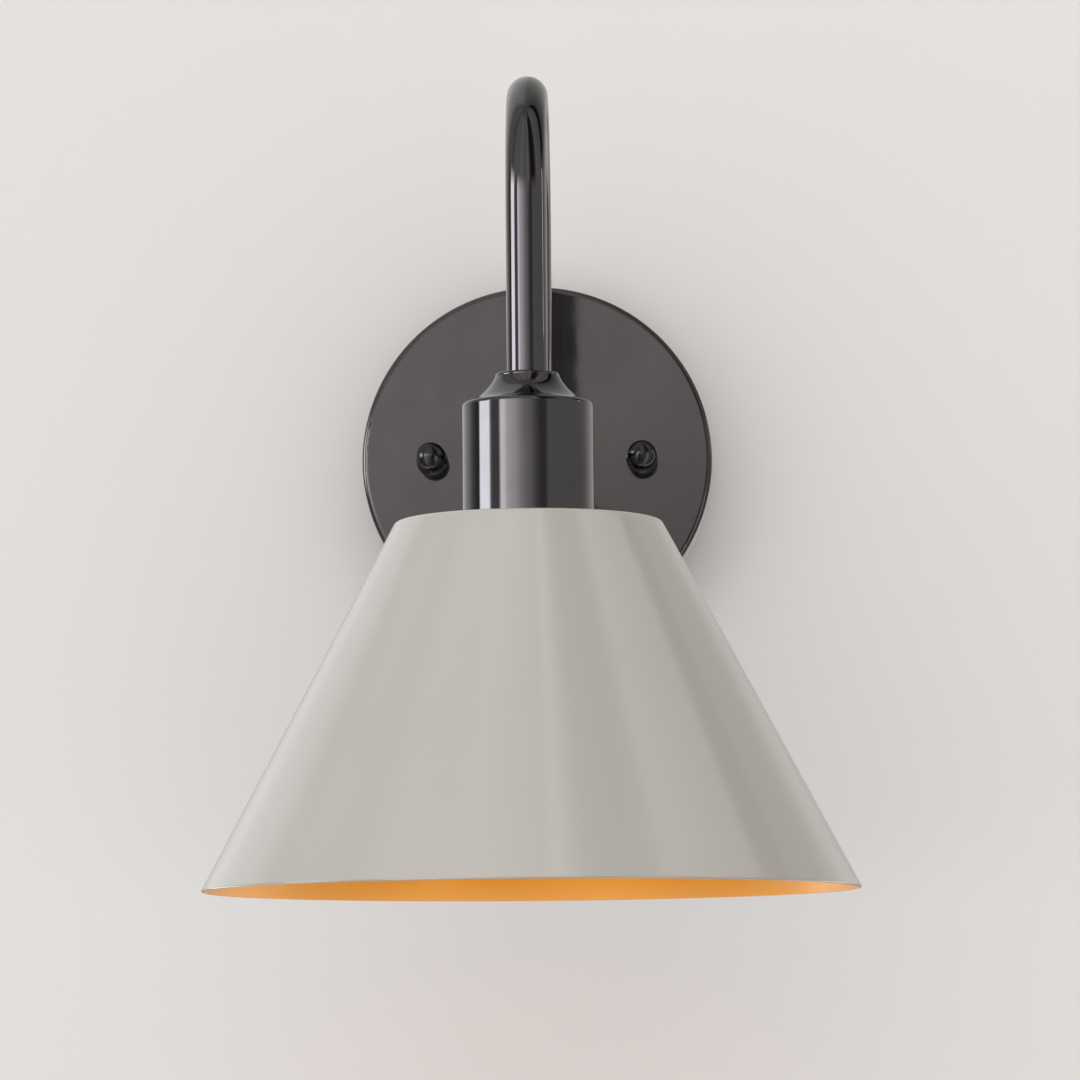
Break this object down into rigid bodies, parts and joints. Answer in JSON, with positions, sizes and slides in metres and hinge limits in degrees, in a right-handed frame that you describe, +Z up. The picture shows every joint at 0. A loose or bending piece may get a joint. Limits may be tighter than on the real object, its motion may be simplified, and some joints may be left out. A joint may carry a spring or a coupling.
{
  "type": "wall sconce",
  "caption": "Wall sconce with a round canopy, gooseneck tube, socket cup and a cone shade that opens downwards over a screw-base bulb.",
  "frame": {"origin": "centre of the canopy's rear plane, on the wall, which is also the centre of the crossbar's screw slots", "axes": "+Z up, +Y into the wall, +X to the right seen from the room; the sconce stands out along -Y"},
  "size_m": [0.2, 0.256, 0.2575],
  "materials": {
    "black_nickel": "polished black nickel, mirror-like",
    "canopy_enamel": "glossy gunmetal lacquer",
    "shade_lacquer": "glossy warm grey lacquer outside, gold leaf inside",
    "zinc_steel": "zinc plated",
    "brass": "bare",
    "green_zinc": "green ground screw",
    "copper_wire": "bare copper ground lead",
    "black_plastic": "moulded phenolic",
    "porcelain": "glazed white",
    "lead_black": "wire insulation",
    "lead_white": "wire insulation",
    "connector_orange": "twist-on connector",
    "frosted_glass": "inside-frosted bulb",
    "clear_glass": "clear stem",
    "dark_glass": "vitrified insulator",
    "nickel_cap": "lamp screw cap",
    "tungsten": "filament and supports"
  },
  "bodies": {
    "fixture": {"canopy": "canopy_enamel", "crossbar": "zinc_steel", "stud_left": "zinc_steel", "stud_right": "zinc_steel", "stud_lock_nuts": "zinc_steel", "gooseneck_tube": "black_nickel", "tube_wall_bush": "zinc_steel", "tube_socket_bush": "zinc_steel", "wall_nipple": "zinc_steel", "wall_lock_washer": "zinc_steel", "wall_nut": "zinc_steel", "wire_bush": "black_plastic", "socket_cup": "black_nickel", "socket_nipple": "zinc_steel", "cup_lock_washer": "zinc_steel", "cup_nut": "zinc_steel", "lampholder_cap": "black_plastic", "lampholder_core": "porcelain", "lampholder_skirt": "black_plastic", "screw_shell": "brass", "centre_contact": "brass", "line_terminal_screw": "brass", "neutral_terminal_screw": "nickel_cap", "line_lead": "lead_black", "neutral_lead": "lead_white", "line_connector": "connector_orange", "neutral_connector": "connector_orange", "ground_lead": "copper_wire", "canopy_ground_lug": "brass", "crossbar_ground_lug": "brass", "ground_screw": "green_zinc"},
    "shade": {"shade": "shade_lacquer"},
    "shade_ring": {"shade_ring": "black_plastic"},
    "left_washer": {"cap_washer_left": "zinc_steel"},
    "left_cap_nut": {"cap_nut_left": "black_nickel"},
    "right_washer": {"cap_washer_right": "zinc_steel"},
    "right_cap_nut": {"cap_nut_right": "black_nickel"},
    "bulb_contact": {"bulb_eyelet": "brass"},
    "bulb": {"bulb_glass": "frosted_glass", "bulb_screw_cap": "nickel_cap", "bulb_insulator": "dark_glass", "bulb_stem": "clear_glass", "bulb_filament": "tungsten"}
  },
  "joints": [
    {"name": "shade_lowering", "type": "slide", "parent": "fixture", "child": "shade", "axis": [0, 0, -1], "range_m": [0, 0.005]},
    {"name": "shade_ring_turn", "type": "hinge", "parent": "shade", "child": "shade_ring", "pos_m": [0, -0.156, -0.0363], "axis": [0, 0, -1], "range_deg": [0, 900.01]},
    {"name": "left_cap_nut_travel", "type": "slide", "parent": "fixture", "child": "left_washer", "axis": [0, -1, 0], "range_m": [0, 0.00794]},
    {"name": "left_cap_nut_turn", "type": "hinge", "parent": "left_washer", "child": "left_cap_nut", "pos_m": [-0.03492, -0.0225, 0], "axis": [0, -1, 0], "range_deg": [0, 3600.01]},
    {"name": "right_cap_nut_travel", "type": "slide", "parent": "fixture", "child": "right_washer", "axis": [0, -1, 0], "range_m": [0, 0.00794]},
    {"name": "right_cap_nut_turn", "type": "hinge", "parent": "right_washer", "child": "right_cap_nut", "pos_m": [0.03492, -0.0225, 0], "axis": [0, -1, 0], "range_deg": [0, 3600.01]},
    {"name": "bulb_travel", "type": "slide", "parent": "fixture", "child": "bulb_contact", "axis": [0, 0, -1], "range_m": [0, 0.01452]},
    {"name": "bulb_turn", "type": "hinge", "parent": "bulb_contact", "child": "bulb", "pos_m": [0, -0.156, -0.05], "axis": [0, 0, -1], "range_deg": [0, 1440.01]}
  ],
  "couplings": [
    {"joint": "shade_ring_turn", "follows": "shade_lowering", "rad_per_m": 3141.6},
    {"joint": "left_cap_nut_turn", "follows": "left_cap_nut_travel", "rad_per_m": 7915.8},
    {"joint": "right_cap_nut_turn", "follows": "right_cap_nut_travel", "rad_per_m": 7915.8},
    {"joint": "bulb_turn", "follows": "bulb_travel", "rad_per_m": 1730.9}
  ]
}
